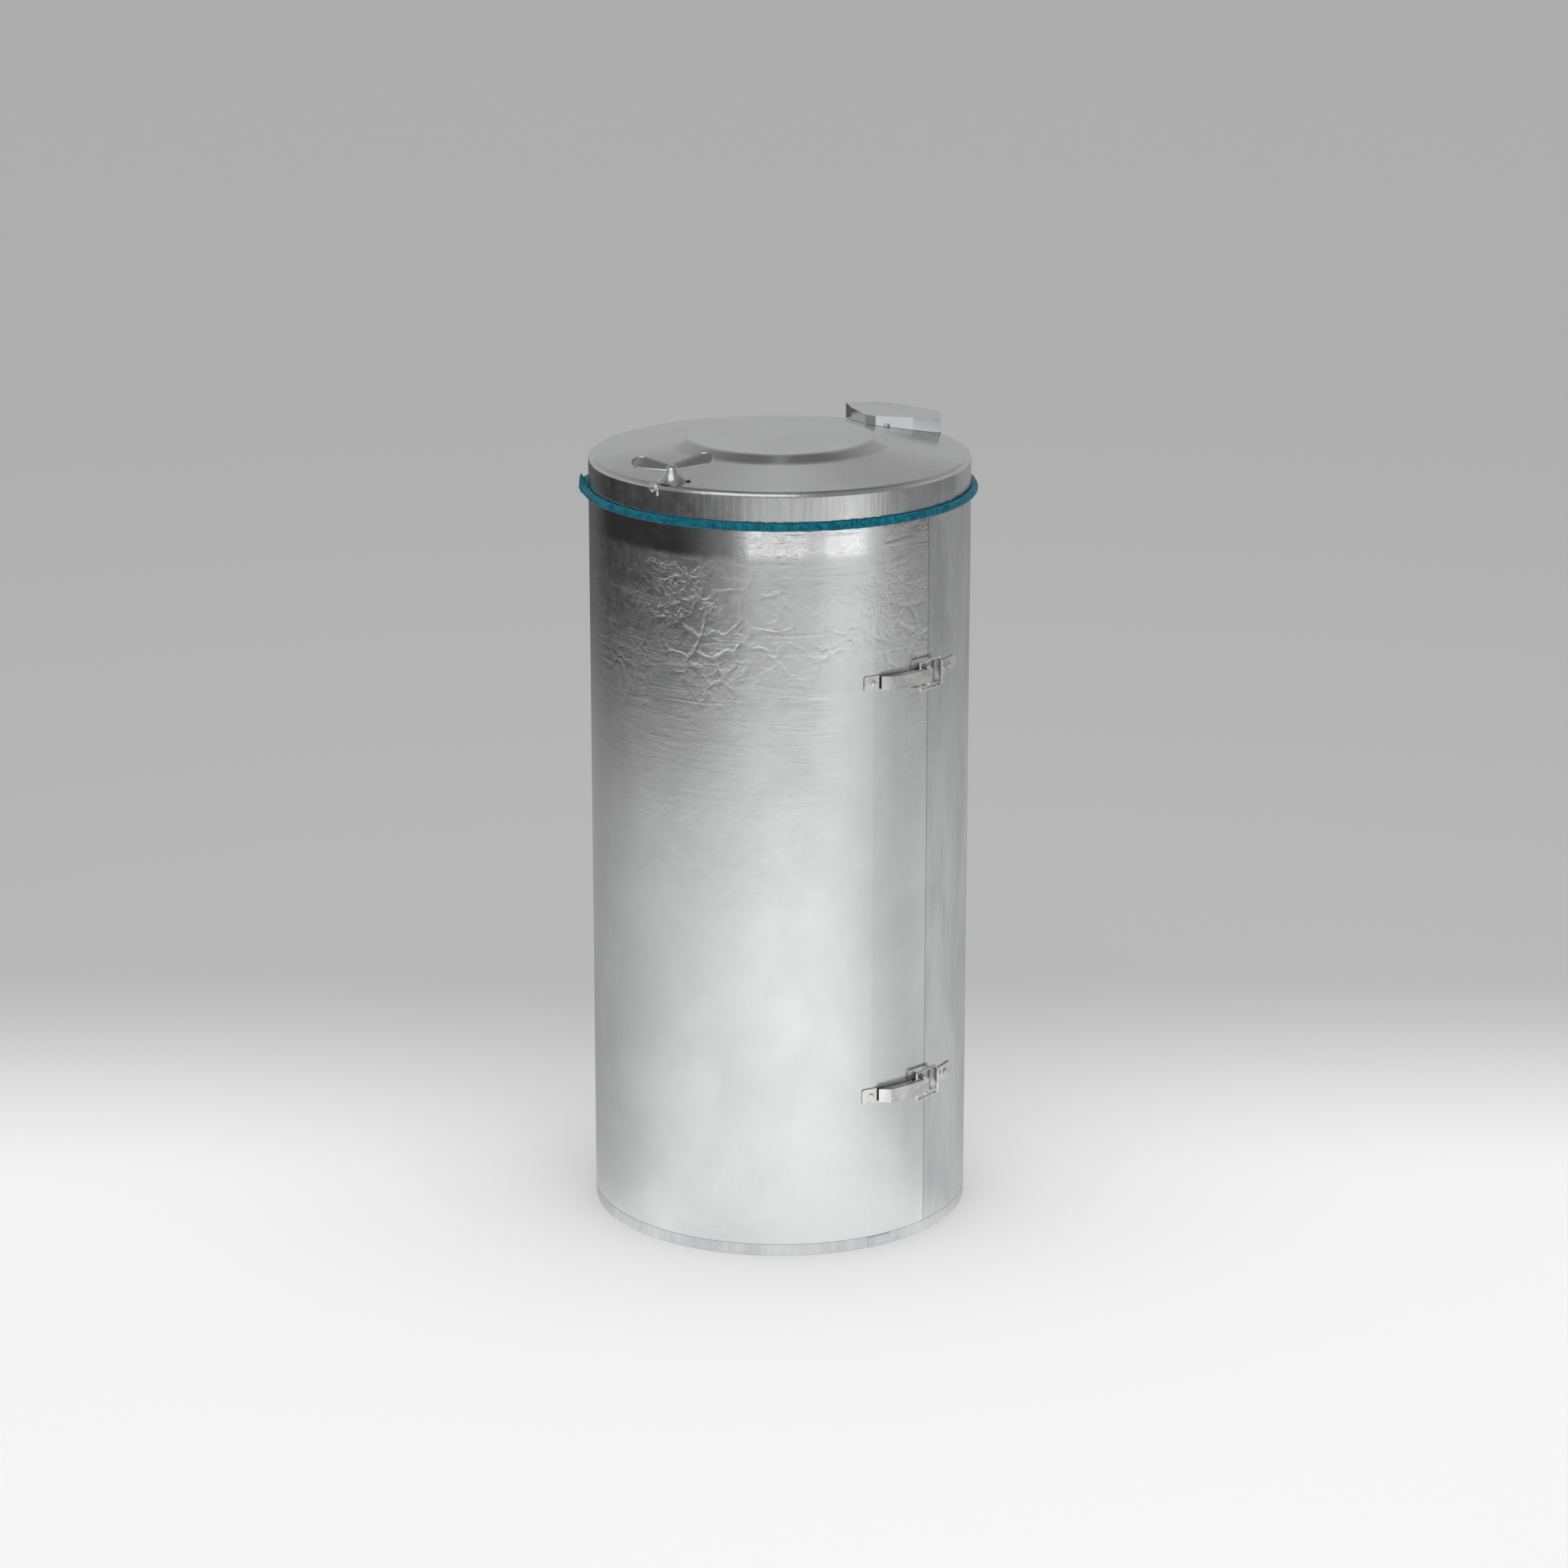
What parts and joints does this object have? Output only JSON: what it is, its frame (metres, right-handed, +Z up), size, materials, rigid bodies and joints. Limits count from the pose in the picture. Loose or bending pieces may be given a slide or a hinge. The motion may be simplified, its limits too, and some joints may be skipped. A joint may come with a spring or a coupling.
{
  "type": "galvanized waste can with lid",
  "caption": "Round galvanized steel waste can with a full-height half-round door on toggle latches, a hinged lid with a wing grip, and a bag hung in its top ring.",
  "frame": {"origin": "on the can's vertical axis at floor level", "axes": "+Z up, -Y to the middle of the door and the lid's grip, +X to the latches"},
  "size_m": [0.4754, 0.4759, 0.9483],
  "materials": {
    "galvanized_steel": "hot-dip galvanized, softly mottled and streaked",
    "plated_steel": "bright zinc plated",
    "bag_film": "thin teal blue film",
    "elastic": "black elastic ring"
  },
  "bodies": {
    "can": {"base_ring": "galvanized_steel", "floor_pan": "galvanized_steel", "rear_shell": "galvanized_steel", "latch_side_post": "galvanized_steel", "hinge_side_post": "galvanized_steel", "top_collar": "galvanized_steel", "bag_ring": "elastic", "waste_bag": "bag_film", "lid_hinge_bracket": "galvanized_steel", "bracket_rivets": "plated_steel", "lid_hinge_pin": "plated_steel", "upper_hinge_shell_leaf": "galvanized_steel", "lower_hinge_shell_leaf": "galvanized_steel", "shell_leaf_rivets": "plated_steel", "upper_hinge_pin": "plated_steel", "lower_hinge_pin": "plated_steel", "upper_latch_catch": "plated_steel", "lower_latch_catch": "plated_steel", "catch_rivets": "plated_steel"},
    "lid": {"lid_shell": "galvanized_steel", "lid_grip": "plated_steel", "lid_hinge_hood": "galvanized_steel"},
    "door": {"door_panel": "galvanized_steel", "upper_hinge_door_leaf": "galvanized_steel", "lower_hinge_door_leaf": "galvanized_steel", "door_leaf_rivets": "plated_steel", "upper_latch_base": "plated_steel", "lower_latch_base": "plated_steel", "latch_base_rivets": "plated_steel", "upper_lever_pin": "plated_steel", "lower_lever_pin": "plated_steel"},
    "upper_lever": {"upper_latch_lever": "plated_steel"},
    "lower_lever": {"lower_latch_lever": "plated_steel"},
    "upper_bail": {"upper_latch_bail": "plated_steel"},
    "lower_bail": {"lower_latch_bail": "plated_steel"}
  },
  "joints": [
    {"name": "lid_hinge", "type": "hinge", "parent": "can", "child": "lid", "pos_m": [0, 0.238, 0.862], "axis": [-1, 0, 0], "range_deg": [0, 105]},
    {"name": "door_hinge", "type": "hinge", "parent": "can", "child": "door", "pos_m": [-0.232, 0, 0.445], "axis": [0, 0, -1], "range_deg": [0, 165]},
    {"name": "upper_lever_hinge", "type": "hinge", "parent": "door", "child": "upper_lever", "pos_m": [0.23376, -0.01061, 0.691], "axis": [0, 0, 1], "range_deg": [0, 150]},
    {"name": "upper_bail_hinge", "type": "hinge", "parent": "upper_lever", "child": "upper_bail", "pos_m": [0.23267, -0.02358, 0.691], "axis": [0, 0, 1], "range_deg": [-150, 0]},
    {"name": "lower_lever_hinge", "type": "hinge", "parent": "door", "child": "lower_lever", "pos_m": [0.23376, -0.01061, 0.19], "axis": [0, 0, 1], "range_deg": [0, 150]},
    {"name": "lower_bail_hinge", "type": "hinge", "parent": "lower_lever", "child": "lower_bail", "pos_m": [0.23267, -0.02358, 0.19], "axis": [0, 0, 1], "range_deg": [-150, 0]}
  ],
  "couplings": [
    {"joint": "upper_bail_hinge", "follows": "upper_lever_hinge", "ratio": -1},
    {"joint": "lower_bail_hinge", "follows": "lower_lever_hinge", "ratio": -1}
  ]
}
